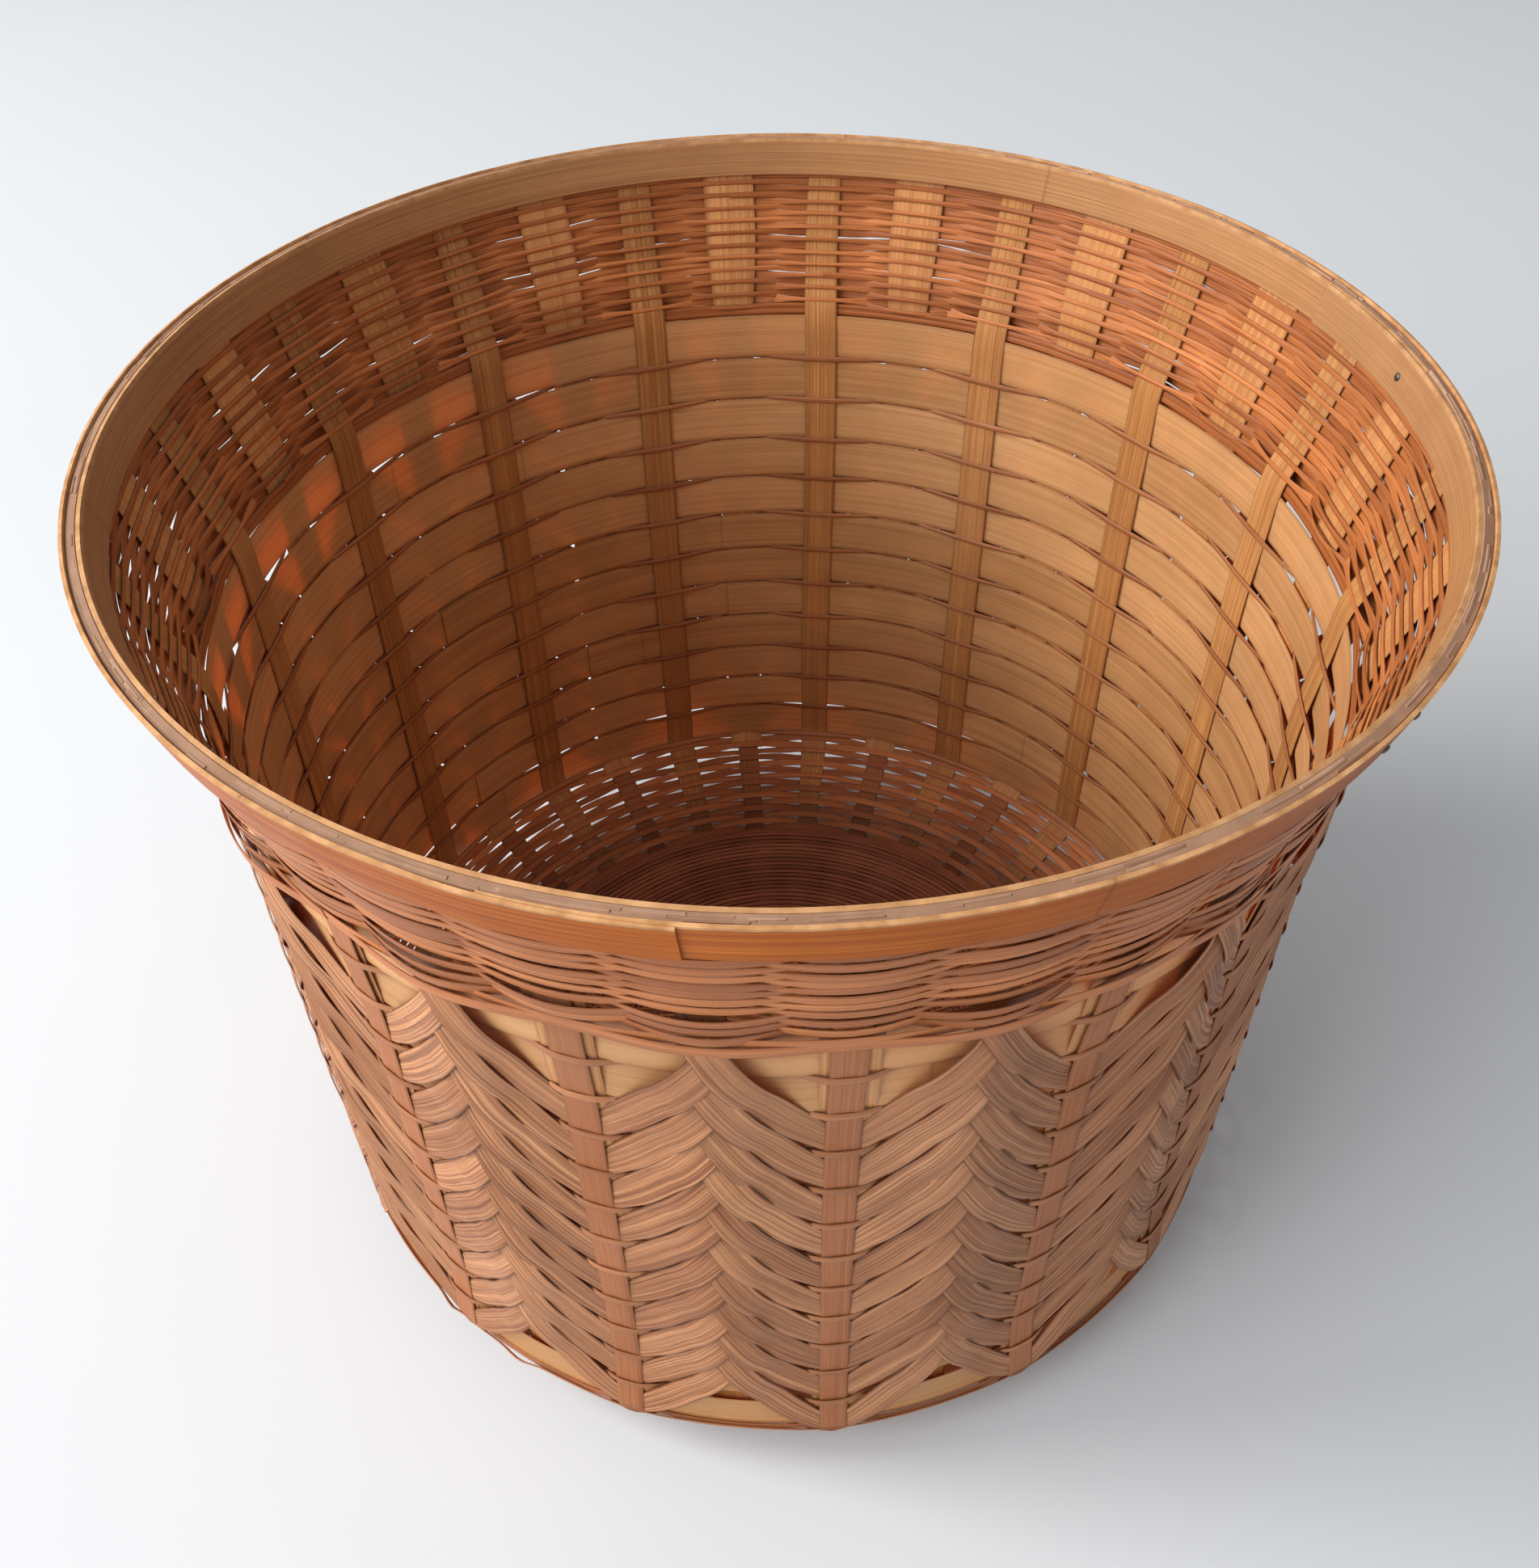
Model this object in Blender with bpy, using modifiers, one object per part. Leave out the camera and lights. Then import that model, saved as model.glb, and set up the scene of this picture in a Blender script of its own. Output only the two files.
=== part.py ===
"""Wicker cachepot: a round split-bamboo pot cover with a flared rim.

Thirty-two stake ends stand round the wall, alternately inner and outer.
They are the ends of sixteen long splints, which cross under and over the base.
Wide bands pass outside the inner stakes and inside the outer stakes.
Narrow weavers run between the bands and pass the stakes the other way.
Over the bands hang rows of zigzag splints, tucked behind the outer stakes.
The stakes stand on the facets of one many-sided wall, one stake to a facet.
"""
import math

import bmesh
import bpy
from mathutils import Matrix, Vector

# Overall sizes, in metres
HEIGHT = 0.286
RIM_RADIUS = 0.180
NECK_RADIUS = 0.1605
NECK_HEIGHT = 0.2285
BORDER_RADIUS = 0.1594
BORDER_HEIGHT = 0.022
FOOT_RADIUS = 0.1148
PLATEAU_RADIUS = 0.044
PLATEAU_HEIGHT = 0.0092

# Clearance left between pieces that touch on the real basket
GAP = 0.0003

# Stakes
SPLINT_COUNT = 16
STAKE_THICKNESS = 0.0006
INNER_STAKE_WIDTH = 0.0115
OUTER_STAKE_WIDTH = 0.0090
FOOT_STAKE_WIDTH = 0.0088
CENTRE_STAKE_WIDTH = 0.0080

# Wall
BAND_COUNT = 12
BAND_THICKNESS = 0.0008
WEAVER_HEIGHT = 0.0017
WEAVER_THICKNESS = 0.0006
WEAVER_DIVE = 0.0031

# Zigzag splints over the bands
ZIGZAG_COUNT = 10
ZIGZAG_THICKNESS = 0.0005
ZIGZAG_RISE = 0.0441
ZIGZAG_BULGE = 0.0045
ZIGZAG_ROW_GAP = 0.00075
ZIGZAG_SLACK = 0.0001

# Fine weave at the flare, the lower wall and the base
WEAVE_THICKNESS = 0.0005

# Rim
OUTER_HOOP_THICKNESS = 0.0012
OUTER_HOOP_HEIGHT = 0.0140
INNER_HOOP_THICKNESS = 0.0014
INNER_HOOP_HEIGHT = 0.0112
FILLER_HEIGHT = 0.0026
HOOP_FACETS = 64

# Rows of weaver at the lower corner and at the foot
BORDER_CORD_RADIUS = 0.0015
BORDER_CORD_POINTS = 64
BORDER_CORD_ROUNDING = 1
FOOT_WEAVER_WIDTH = 0.0027
FOOT_WEAVER_THICKNESS = 0.0008

# Small nails through the outer hoop
NAIL_ANGLES = (-113.0, -50.5, -46.0)
NAIL_HEAD_RADIUS = 0.0011
NAIL_HEAD_HEIGHT = 0.0005
NAIL_SHANK_RADIUS = 0.0005
NAIL_SIDES = 8

# The drill for the nails' holes runs this many thicknesses through the hoop
DRILL_REACH = 4.0

# What follows from the sizes
END_COUNT = 2 * SPLINT_COUNT
STEP = 2 * math.pi / END_COUNT
FRONT = -math.pi / 2
PITCH = (NECK_HEIGHT - BORDER_HEIGHT) / BAND_COUNT
BAND_HEIGHT = PITCH - WEAVER_HEIGHT - 2 * GAP
MERGE = 0.00001

# How far each layer's middle lies from the middle of the wall, outwards
WEAVE_TO_STAKE = WEAVE_THICKNESS / 2 + GAP + STAKE_THICKNESS / 2
BAND_TO_INNER_STAKE = BAND_THICKNESS / 2 + GAP + STAKE_THICKNESS / 2
BAND_TO_ZIGZAG = BAND_THICKNESS / 2 + GAP + ZIGZAG_THICKNESS / 2
BAND_TO_OUTER_STAKE = (BAND_TO_ZIGZAG + ZIGZAG_THICKNESS / 2 + ZIGZAG_SLACK
                       + GAP + STAKE_THICKNESS / 2)
HOOP_SEAT = WEAVE_TO_STAKE + STAKE_THICKNESS / 2 + GAP

# Colours, linear, from the photograph
HONEY = (0.58, 0.27, 0.075)
GOLDEN = (0.56, 0.25, 0.065)
TAN = (0.50, 0.22, 0.10)
PINK_BROWN = (0.42, 0.18, 0.11)
ORANGE_BROWN = (0.48, 0.15, 0.038)
GREY_BROWN = (0.28, 0.19, 0.12)
DARK_BROWN = (0.10, 0.035, 0.014)
STEEL = (0.30, 0.28, 0.26)

# Roughness of the finishes
GLOSSY = 0.35
POLISHED = 0.4
SATIN = 0.5
ROUGH = 0.8
METALLIC = 0.9


def clear_scene():
    """Remove every object of the scene."""
    for old in list(bpy.data.objects):
        bpy.data.objects.remove(old, do_unlink=True)


def new_collection(name):
    """Add a collection to the scene."""
    group = bpy.data.collections.new(name)
    bpy.context.scene.collection.children.link(group)
    return group


def new_material(name, colour, roughness, metallic=0.0):
    """A plain Principled material."""
    material = bpy.data.materials.new(name)
    material.use_nodes = True
    shader = material.node_tree.nodes["Principled BSDF"]
    shader.inputs["Base Color"].default_value = (*colour, 1.0)
    shader.inputs["Roughness"].default_value = roughness
    shader.inputs["Metallic"].default_value = metallic
    return material


def add_object(name, bm, colour, roughness=SATIN, metallic=0.0, group=None):
    """Turn a bmesh into a named object with its own material."""
    mesh = bpy.data.meshes.new(name)
    bm.to_mesh(mesh)
    bm.free()
    piece = bpy.data.objects.new(name, mesh)
    (group or BASKET).objects.link(piece)
    mesh.materials.append(new_material(name, colour, roughness, metallic))
    return piece


def solidify(piece, thickness):
    """Give an open surface an even thickness about its middle."""
    shell = piece.modifiers.new("thickness", "SOLIDIFY")
    shell.thickness = thickness
    shell.offset = 0.0
    shell.use_even_offset = True
    shell.use_quality_normals = True


def spin(piece, steps):
    """Turn a flat outline once about its object's upright axis."""
    screw = piece.modifiers.new("turn", "SCREW")
    screw.axis = "Z"
    screw.angle = 2 * math.pi
    screw.steps = steps
    screw.render_steps = steps
    screw.use_merge_vertices = True
    screw.merge_threshold = MERGE
    screw.use_smooth_shade = False


def on_facet(angle, across, radius, height):
    """The point of a flat facet: across it, at its distance from the axis."""
    out = Vector((math.cos(angle), math.sin(angle), 0.0))
    side = Vector((-math.sin(angle), math.cos(angle), 0.0))
    return out * radius + side * across + Vector((0.0, 0.0, height))


def wall_radius(height):
    """Radius of the middle of the wall between the border and the neck."""
    share = (height - BORDER_HEIGHT) / (NECK_HEIGHT - BORDER_HEIGHT)
    return BORDER_RADIUS + share * (NECK_RADIUS - BORDER_RADIUS)


def weaver_height(row):
    """Height of a narrow weaver; row 0 is the border itself."""
    return BORDER_HEIGHT + row * PITCH


def flare_slope():
    """Outward run of the flare for each metre of height, and its length factor.

    The outer hoop's face ends at the rim's radius, so run = rim - neck - reach * factor,
    and the factor follows from the slope, which leaves a quadratic for the slope.
    """
    rise = HEIGHT - NECK_HEIGHT
    run = RIM_RADIUS - NECK_RADIUS
    reach = HOOP_SEAT + OUTER_HOOP_THICKNESS
    root = reach * math.sqrt(rise * rise + run * run - reach * reach)
    slope = (run * rise - root) / (rise * rise - reach * reach)
    return slope, math.sqrt(1 + slope * slope)


FLARE_SLOPE, FLARE_FACTOR = flare_slope()


def flare_radius(height, offset=0.0):
    """Radius in the flare at a height, for a layer's offset from its middle."""
    return NECK_RADIUS + (height - NECK_HEIGHT) * FLARE_SLOPE + offset * FLARE_FACTOR


def foot_height():
    """Height of the middle of the weave at the foot, above the row it stands on."""
    slope = (BORDER_HEIGHT - STAKE_THICKNESS) / (BORDER_RADIUS - FOOT_RADIUS)
    reach = (WEAVE_TO_STAKE + STAKE_THICKNESS / 2) * math.sqrt(1 + slope * slope)
    return FOOT_WEAVER_THICKNESS + GAP + reach


def middle_path():
    """Middle of the wall as radius and height, from the rim to the centre.

    The top edge of an inner stake leans in and lies higher than the middle by the lift,
    so the middle ends that much further below the filler.
    """
    lift = (WEAVE_TO_STAKE + STAKE_THICKNESS / 2) * FLARE_SLOPE / FLARE_FACTOR
    top = HEIGHT - FILLER_HEIGHT - GAP - lift
    return [
        (flare_radius(top), top),
        (NECK_RADIUS, NECK_HEIGHT),
        (BORDER_RADIUS, BORDER_HEIGHT),
        (FOOT_RADIUS, foot_height()),
        (PLATEAU_RADIUS, PLATEAU_HEIGHT),
        (0.0, PLATEAU_HEIGHT),
    ]


def offset_path(points, offsets):
    """Move each stretch of a path outwards by its own offset and join them."""
    lines = []
    for (r0, z0), (r1, z1), offset in zip(points, points[1:], offsets):
        length = math.hypot(r1 - r0, z1 - z0)
        run = ((r1 - r0) / length, (z1 - z0) / length)
        start = (r0 - run[1] * offset, z0 + run[0] * offset)
        end = (r1 - run[1] * offset, z1 + run[0] * offset)
        lines.append((start, end, run))
    moved = [lines[0][0]]
    for (start_a, _, run_a), (start_b, _, run_b) in zip(lines, lines[1:]):
        cross = run_a[0] * run_b[1] - run_a[1] * run_b[0]
        gap = (start_b[0] - start_a[0], start_b[1] - start_a[1])
        along = (gap[0] * run_b[1] - gap[1] * run_b[0]) / cross
        moved.append((start_a[0] + run_a[0] * along, start_a[1] + run_a[1] * along))
    moved.append(lines[-1][1])
    return moved


def turned(name, corners, facets, colour, roughness=SATIN, closed=True):
    """An outline turned about the upright axis, with flat facets.

    The radii are those of the facets' middles, and a facet faces the front.
    A closed outline gives a ring; an open one starts and ends on the axis.
    """
    half_facet = math.pi / facets
    start = FRONT + half_facet
    bm = bmesh.new()
    verts = []
    for radius, height in corners:
        verts.append(bm.verts.new(on_facet(start, 0.0, radius / math.cos(half_facet), height)))
    for first, second in zip(verts, verts[1:]):
        bm.edges.new((first, second))
    if closed:
        bm.edges.new((verts[-1], verts[0]))
    piece = add_object(name, bm, colour, roughness)
    spin(piece, facets)
    return piece


def ring_of_columns(name, columns, thickness, colour):
    """A closed ring of flat splint through pairs of edge points."""
    bm = bmesh.new()
    pairs = [(bm.verts.new(low), bm.verts.new(high)) for low, high in columns]
    for (low_a, high_a), (low_b, high_b) in zip(pairs, pairs[1:] + pairs[:1]):
        bm.faces.new((low_a, low_b, high_b, high_a))
    piece = add_object(name, bm, colour)
    solidify(piece, thickness)


def stake_widths(full_width):
    """Widths of a splint at the middle path's points: full on the wall, then narrower."""
    return [full_width] * 3 + [FOOT_STAKE_WIDTH] + [CENTRE_STAKE_WIDTH] * 2


def through_splint(name, turn, offsets, width, level, colour):
    """One long splint: down one wall, across the base and up the other wall."""
    half = offset_path(middle_path(), offsets)
    pile_radius = (CENTRE_STAKE_WIDTH / 2 + GAP) / math.sin(math.pi / SPLINT_COUNT)
    half[-1] = (pile_radius, level)
    stations = [(r, z, w) for (r, z), w in zip(half, stake_widths(width))]
    stations += [(-r, z, w) for r, z, w in reversed(stations)]
    bm = bmesh.new()
    pairs = []
    for radius, height, wide in stations:
        left = bm.verts.new(on_facet(turn, -wide / 2, radius, height))
        right = bm.verts.new(on_facet(turn, wide / 2, radius, height))
        pairs.append((left, right))
    for (left_a, right_a), (left_b, right_b) in zip(pairs, pairs[1:]):
        bm.faces.new((left_a, right_a, right_b, left_b))
    piece = add_object(name, bm, colour)
    solidify(piece, STAKE_THICKNESS)


def make_stakes():
    """Sixteen long splints, alternately inside and outside the wall."""
    inner = [-WEAVE_TO_STAKE, -BAND_TO_INNER_STAKE, -WEAVE_TO_STAKE,
             -WEAVE_TO_STAKE, -WEAVE_TO_STAKE]
    outer = [WEAVE_TO_STAKE, BAND_TO_OUTER_STAKE, WEAVE_TO_STAKE,
             WEAVE_TO_STAKE, WEAVE_TO_STAKE]
    layer = STAKE_THICKNESS + GAP
    for number in range(SPLINT_COUNT // 2):
        turn = FRONT + 2 * number * STEP
        down = PLATEAU_HEIGHT - WEAVE_TO_STAKE - number * layer
        through_splint(f"outer_stake_{number + 1:02d}", turn, outer,
                       OUTER_STAKE_WIDTH, down, PINK_BROWN)
        up = PLATEAU_HEIGHT + WEAVE_TO_STAKE + number * layer
        through_splint(f"inner_stake_{number + 1:02d}", turn + STEP, inner,
                       INNER_STAKE_WIDTH, up, HONEY)


def make_bands():
    """Wide flat hoops between the inner and the outer stakes."""
    half = BAND_THICKNESS / 2
    for number in range(BAND_COUNT):
        low = weaver_height(number) + (PITCH - BAND_HEIGHT) / 2
        high = low + BAND_HEIGHT
        corners = [
            (wall_radius(high) - half, high),
            (wall_radius(high) + half, high),
            (wall_radius(low) + half, low),
            (wall_radius(low) - half, low),
        ]
        turned(f"wide_band_{BAND_COUNT - number:02d}", corners, END_COUNT, GOLDEN)


def weaver_outline(height):
    """Plan of a narrow weaver: out over one stake, in behind the next."""
    radius = wall_radius(height)
    over = radius + BAND_TO_OUTER_STAKE + STAKE_THICKNESS / 2 + GAP + WEAVER_THICKNESS / 2
    edge = OUTER_STAKE_WIDTH / 2 + GAP
    # Behind the inner stake the weaver clears the stake's edges, so its middle is set back
    reach = radius * math.tan(STEP) - edge - WEAVER_DIVE
    stake_face = BAND_TO_INNER_STAKE + STAKE_THICKNESS / 2 + GAP + WEAVER_THICKNESS / 2
    turn_in = radius * (1 - math.cos(STEP))
    share = INNER_STAKE_WIDTH / 2 / reach
    back = (stake_face - share * turn_in) / (1 - share) + GAP / 2
    outline = []
    for number in range(SPLINT_COUNT):
        angle = FRONT + 2 * number * STEP
        outline.append(on_facet(angle, -edge - WEAVER_DIVE, radius, height))
        outline.append(on_facet(angle, -edge, over, height))
        outline.append(on_facet(angle, edge, over, height))
        outline.append(on_facet(angle, edge + WEAVER_DIVE, radius, height))
        outline.append(on_facet(angle + STEP, 0.0, radius - back, height))
    return outline


def make_narrow_weavers():
    """Thin splints between the bands, over the outer and behind the inner stakes."""
    rise = Vector((0.0, 0.0, WEAVER_HEIGHT / 2))
    for row in range(1, BAND_COUNT):
        outline = weaver_outline(weaver_height(row))
        columns = [(point - rise, point + rise) for point in outline]
        ring_of_columns(f"narrow_weaver_{BAND_COUNT - row:02d}", columns,
                        WEAVER_THICKNESS, TAN)


def zigzag_edges(row):
    """Lower and upper edge of a zigzag at an outer stake and at its ridge.

    Beside the stake the lower edge clears the weaver under it, and where the
    weaver above has dived behind the splint, the upper edge has just reached it.
    """
    clear = WEAVER_HEIGHT / 2 + GAP
    low_weaver = weaver_height(row)
    ridge = low_weaver + ZIGZAG_RISE
    half_ridge = (PITCH - ZIGZAG_ROW_GAP) / 2
    ridge_run = wall_radius(low_weaver) * math.sin(STEP)
    edge = OUTER_STAKE_WIDTH / 2 + GAP
    dived = edge + WEAVER_DIVE + GAP
    low_slope = (ridge - half_ridge - low_weaver - clear - GAP) / (ridge_run - edge)
    low = low_weaver + clear + GAP - low_slope * edge
    high_weaver = low_weaver + PITCH
    high_slope = (ridge + half_ridge - high_weaver + clear) / (ridge_run - dived)
    high = high_weaver - clear - high_slope * dived
    low = max(low, BORDER_HEIGHT + clear)
    return low, high, ridge - half_ridge, ridge + half_ridge


def make_zigzags():
    """Rows of splint that rise from stake to stake and meet in ridges."""
    for row in range(ZIGZAG_COUNT):
        low, high, ridge_low, ridge_high = zigzag_edges(row)
        middle = (ridge_low + ridge_high) / 2
        at_stake = wall_radius((low + high) / 2) + BAND_TO_ZIGZAG
        at_ridge = wall_radius(middle) + BAND_TO_ZIGZAG + ZIGZAG_BULGE
        columns = []
        for number in range(SPLINT_COUNT):
            angle = FRONT + 2 * number * STEP
            columns.append((on_facet(angle, 0.0, at_stake, low),
                            on_facet(angle, 0.0, at_stake, high)))
            columns.append((on_facet(angle + STEP, 0.0, at_ridge, ridge_low),
                            on_facet(angle + STEP, 0.0, at_ridge, ridge_high)))
        ring_of_columns(f"zigzag_row_{ZIGZAG_COUNT - row:02d}", columns,
                        ZIGZAG_THICKNESS, TAN)


def weave_ring(name, outer_end, inner_end, colour):
    """A cone of fine weave between two points of the middle path."""
    (r0, z0), (r1, z1) = outer_end, inner_end
    length = math.hypot(r1 - r0, z1 - z0)
    side = (-(z1 - z0) / length * WEAVE_THICKNESS / 2, (r1 - r0) / length * WEAVE_THICKNESS / 2)
    corners = [
        (r0 - side[0], z0 - side[1]),
        (r0 + side[0], z0 + side[1]),
        (r1 + side[0], z1 + side[1]),
        (r1 - side[0], z1 - side[1]),
    ]
    turned(name, corners, END_COUNT, colour)


def make_weave():
    """Fine weave of the flare and of the lower wall."""
    top, neck, border, foot, plateau, _ = middle_path()
    weave_ring("flare_weave", top, neck, GOLDEN)
    run = (foot[0] - border[0], foot[1] - border[1])
    length = math.hypot(*run)
    start = (WEAVER_HEIGHT + BAND_THICKNESS) / length
    corner_swell = FOOT_RADIUS * (1 / math.cos(STEP / 2) - 1)
    stop = 1 - (FOOT_WEAVER_WIDTH / 2 + 2 * GAP) / (border[0] - foot[0])
    first = (border[0] + run[0] * start, border[1] + run[1] * start)
    last = (border[0] + run[0] * stop, border[1] + run[1] * stop)
    weave_ring("lower_weave", first, last, HONEY)
    # The base is one cone of weave that ends in a flat middle
    edge = FOOT_RADIUS - FOOT_WEAVER_WIDTH / 2 - corner_swell - 2 * GAP
    share = (FOOT_RADIUS - edge) / (FOOT_RADIUS - plateau[0])
    edge_height = foot[1] + share * (plateau[1] - foot[1])
    make_base(edge, edge_height, plateau)


def make_base(edge, edge_height, plateau):
    """Round base of fine weave, raised in the middle."""
    half = WEAVE_THICKNESS / 2
    outline = [
        (0.0, plateau[1] + half),
        (plateau[0], plateau[1] + half),
        (edge, edge_height + half),
        (edge, edge_height - half),
        (plateau[0], plateau[1] - half),
        (0.0, plateau[1] - half),
    ]
    turned("base_weave", outline, END_COUNT, DARK_BROWN, closed=False)


def make_foot_weaver():
    """The row of weaver that the basket stands on: under the outer stakes."""
    half_width = FOOT_WEAVER_WIDTH / 2
    half = FOOT_WEAVER_THICKNESS / 2
    under = FOOT_STAKE_WIDTH / 2 + GAP
    slope = (BORDER_HEIGHT - foot_height()) / (BORDER_RADIUS - FOOT_RADIUS)
    stake_top = (WEAVE_TO_STAKE + STAKE_THICKNESS / 2) * math.sqrt(1 + slope * slope)
    over = foot_height() + slope * (half_width + GAP) + stake_top + GAP + half
    columns = []
    for number in range(SPLINT_COUNT):
        angle = FRONT + 2 * number * STEP
        for turn, across, height in ((angle, -under, half), (angle, under, half),
                                     (angle + STEP, -under, over), (angle + STEP, under, over)):
            columns.append((on_facet(turn, across, FOOT_RADIUS - half_width, height),
                            on_facet(turn, across, FOOT_RADIUS + half_width, height)))
    ring_of_columns("foot_weaver", columns, FOOT_WEAVER_THICKNESS, TAN)


def make_border_cord():
    """The twisted border at the lower corner, as a plain ring."""
    radius = (BORDER_RADIUS + BAND_TO_OUTER_STAKE + STAKE_THICKNESS / 2 + GAP
              + BORDER_CORD_RADIUS)
    data = bpy.data.curves.new("border_cord", "CURVE")
    data.dimensions = "3D"
    data.bevel_depth = BORDER_CORD_RADIUS
    data.bevel_resolution = BORDER_CORD_ROUNDING
    spline = data.splines.new("POLY")
    spline.points.add(BORDER_CORD_POINTS - 1)
    half = math.pi / BORDER_CORD_POINTS
    for number, point in enumerate(spline.points):
        angle = FRONT + (2 * number + 1) * half
        place = on_facet(angle, 0.0, radius / math.cos(half), BORDER_HEIGHT)
        point.co = (*place, 1.0)
    spline.use_cyclic_u = True
    piece = bpy.data.objects.new("border_cord", data)
    BASKET.objects.link(piece)
    data.materials.append(new_material("border_cord", TAN, SATIN))


def hoop(name, inner_offset, outer_offset, height, colour, roughness):
    """A flat hoop on the flare, with level edges."""
    low = HEIGHT - height
    corners = [
        (flare_radius(HEIGHT, inner_offset), HEIGHT),
        (flare_radius(HEIGHT, outer_offset), HEIGHT),
        (flare_radius(low, outer_offset), low),
        (flare_radius(low, inner_offset), low),
    ]
    return turned(name, corners, HOOP_FACETS, colour, roughness)


def nail_frame(angle, lift):
    """Frame of a nail: its axis square to the hoop's face, at mid height."""
    facet = 2 * math.pi / HOOP_FACETS
    turn = FRONT + round((angle - FRONT) / facet) * facet
    height = HEIGHT - OUTER_HOOP_HEIGHT / 2
    radius = flare_radius(height, HOOP_SEAT + OUTER_HOOP_THICKNESS)
    place = on_facet(turn, radius * math.tan(angle - turn), radius, height)
    down = math.atan(FLARE_SLOPE)
    tilt = Matrix.Rotation(turn, 4, "Z") @ Matrix.Rotation(math.pi / 2 + down, 4, "Y")
    axis = tilt @ Vector((0.0, 0.0, 1.0))
    return Matrix.Translation(place + axis * lift) @ tilt


def make_nail(number, angle):
    """A small nail with a flat head; its shank runs through the hoop."""
    shank = OUTER_HOOP_THICKNESS
    outline = [
        (0.0, NAIL_HEAD_HEIGHT),
        (NAIL_HEAD_RADIUS, NAIL_HEAD_HEIGHT),
        (NAIL_HEAD_RADIUS, 0.0),
        (NAIL_SHANK_RADIUS, 0.0),
        (NAIL_SHANK_RADIUS, -shank),
        (0.0, -shank),
    ]
    bm = bmesh.new()
    verts = [bm.verts.new((radius, 0.0, height)) for radius, height in outline]
    for first, second in zip(verts, verts[1:]):
        bm.edges.new((first, second))
    piece = add_object(f"hoop_nail_{number}", bm, STEEL, POLISHED, METALLIC)
    spin(piece, NAIL_SIDES)
    piece.matrix_world = nail_frame(angle, GAP)


def drill_hoop(piece):
    """Cut the nails' holes through the outer hoop."""
    bm = bmesh.new()
    for angle in NAIL_ANGLES:
        frame = nail_frame(math.radians(angle), 0.0)
        bmesh.ops.create_cone(
            bm, cap_ends=True, segments=NAIL_SIDES,
            radius1=NAIL_SHANK_RADIUS + GAP, radius2=NAIL_SHANK_RADIUS + GAP,
            depth=DRILL_REACH * OUTER_HOOP_THICKNESS, matrix=frame)
    cutter = add_object("nail_holes", bm, STEEL, group=CUTTERS)
    cutter.hide_render = True
    cutter.display_type = "WIRE"
    cut = piece.modifiers.new("nail holes", "BOOLEAN")
    cut.operation = "DIFFERENCE"
    cut.object = cutter


def make_rim():
    """Outer hoop, inner hoop, the filler between them and the nails."""
    outer = hoop("outer_hoop", HOOP_SEAT, HOOP_SEAT + OUTER_HOOP_THICKNESS,
                 OUTER_HOOP_HEIGHT, ORANGE_BROWN, GLOSSY)
    hoop("inner_hoop", -HOOP_SEAT - INNER_HOOP_THICKNESS, -HOOP_SEAT,
         INNER_HOOP_HEIGHT, HONEY, SATIN)
    hoop("rim_filler", -HOOP_SEAT + GAP, HOOP_SEAT - GAP, FILLER_HEIGHT, GREY_BROWN, ROUGH)
    drill_hoop(outer)
    for number, angle in enumerate(NAIL_ANGLES):
        make_nail(number + 1, math.radians(angle))


clear_scene()
BASKET = new_collection("wicker_cachepot")
CUTTERS = new_collection("cutters")
make_stakes()
make_bands()
make_narrow_weavers()
make_zigzags()
make_weave()
make_foot_weaver()
make_border_cord()
make_rim()
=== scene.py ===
"""Looks of a split-bamboo cachepot: every splint is its own strip, woven as on the real basket."""

import math

import bmesh
import bpy
import numpy as np
from mathutils import Matrix, Vector


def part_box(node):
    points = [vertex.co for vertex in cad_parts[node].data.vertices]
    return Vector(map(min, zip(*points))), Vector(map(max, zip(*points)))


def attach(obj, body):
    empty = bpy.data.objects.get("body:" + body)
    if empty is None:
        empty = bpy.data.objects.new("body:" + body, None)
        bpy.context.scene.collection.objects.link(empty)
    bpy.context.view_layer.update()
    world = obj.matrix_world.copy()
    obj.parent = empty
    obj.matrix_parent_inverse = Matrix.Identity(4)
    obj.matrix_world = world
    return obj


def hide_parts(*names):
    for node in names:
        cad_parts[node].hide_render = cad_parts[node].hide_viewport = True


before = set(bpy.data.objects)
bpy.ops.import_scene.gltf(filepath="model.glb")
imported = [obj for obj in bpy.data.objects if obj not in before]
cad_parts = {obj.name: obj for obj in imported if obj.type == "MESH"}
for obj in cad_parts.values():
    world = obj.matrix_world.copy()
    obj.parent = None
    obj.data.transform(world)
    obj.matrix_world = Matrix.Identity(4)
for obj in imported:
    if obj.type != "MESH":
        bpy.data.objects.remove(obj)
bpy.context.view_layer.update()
MM = 0.001
RANDOM = np.random.default_rng(11)


def low(node):
    """Lowest corner of a CAD node."""
    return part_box(node)[0]


def high(node):
    """Highest corner of a CAD node."""
    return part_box(node)[1]


# Sizes read from the frame. A facet of every ring faces -Y, so a radius is read there.
BAND_COUNT = 12
ZIGZAG_COUNT = 10
END_COUNT = 32
STEP = 2 * math.pi / END_COUNT
FRONT = -math.pi / 2
BAND_THICKNESS = 0.8 * MM
PITCH = low("wide_band_01").z - low("wide_band_02").z
BAND_HEIGHT = high("wide_band_01").z - low("wide_band_01").z
NECK_HEIGHT = high("wide_band_01").z + (PITCH - BAND_HEIGHT) / 2
BORDER_HEIGHT = low("wide_band_12").z - (PITCH - BAND_HEIGHT) / 2
NECK_RADIUS = -low("wide_band_01").y - BAND_THICKNESS / 2
BORDER_RADIUS = -low("wide_band_12").y - BAND_THICKNESS / 2
FLARE_TOP = high("flare_weave").z
FLARE_TOP_RADIUS = -low("flare_weave").y - 0.25 * MM
FOOT_RADIUS = -low("foot_weaver").y - 1.35 * MM
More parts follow.
